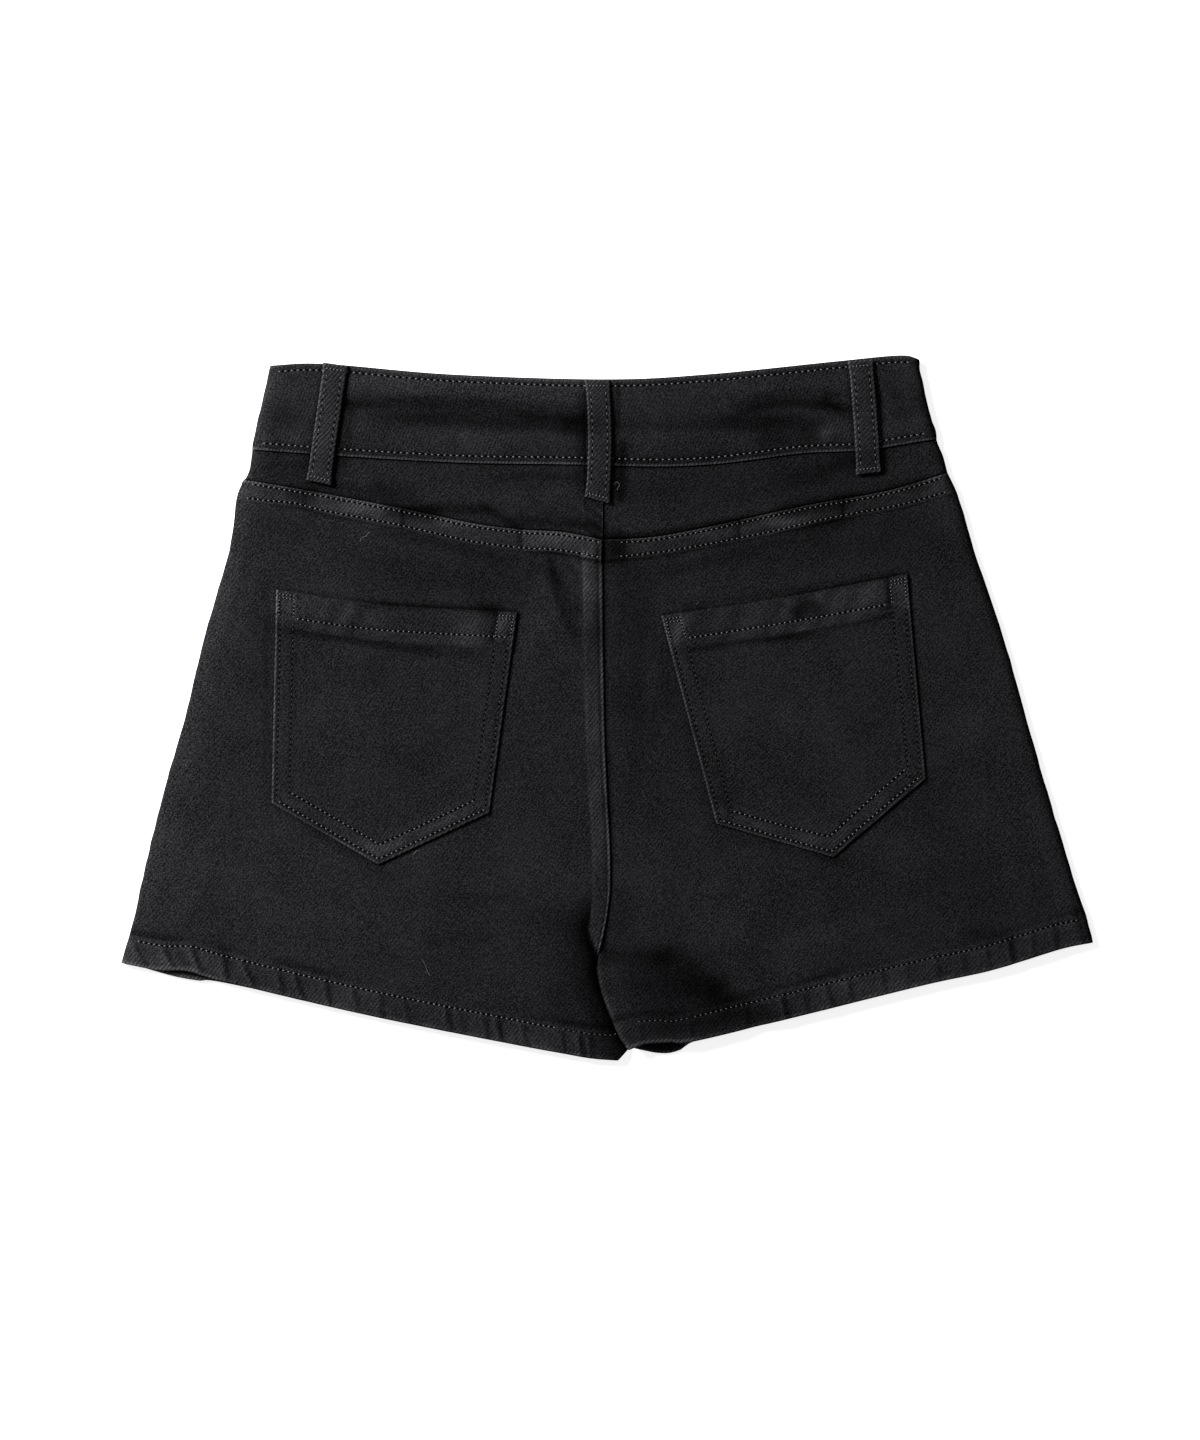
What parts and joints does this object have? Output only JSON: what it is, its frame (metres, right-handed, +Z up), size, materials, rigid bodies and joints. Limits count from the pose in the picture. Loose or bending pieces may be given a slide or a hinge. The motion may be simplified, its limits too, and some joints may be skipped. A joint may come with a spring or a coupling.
{
  "type": "denim skort",
  "caption": "Black stretch-denim skort laid flat face down, back up: waistband with belt loops, pointed yoke, patch pockets and turned hems.",
  "frame": {"origin": "on the surface it lies on, under the middle of its bounding box", "axes": "+X across the garment towards the wearer's right, +Y towards the waistband, +Z up from the surface"},
  "size_m": [0.5236, 0.38, 0.0117],
  "materials": {
    "denim": "matt",
    "doubled denim": "matt"
  },
  "bodies": {
    "root": {"waistband": "doubled denim", "yoke_left": "denim", "yoke_right": "denim", "back_left": "denim", "back_right": "denim", "pocket_left": "doubled denim", "pocket_right": "doubled denim", "loop_left": "doubled denim", "loop_centre": "doubled denim", "loop_right": "doubled denim", "front_left": "denim", "front_right": "denim", "skirt_panel": "denim"}
  },
  "joints": []
}
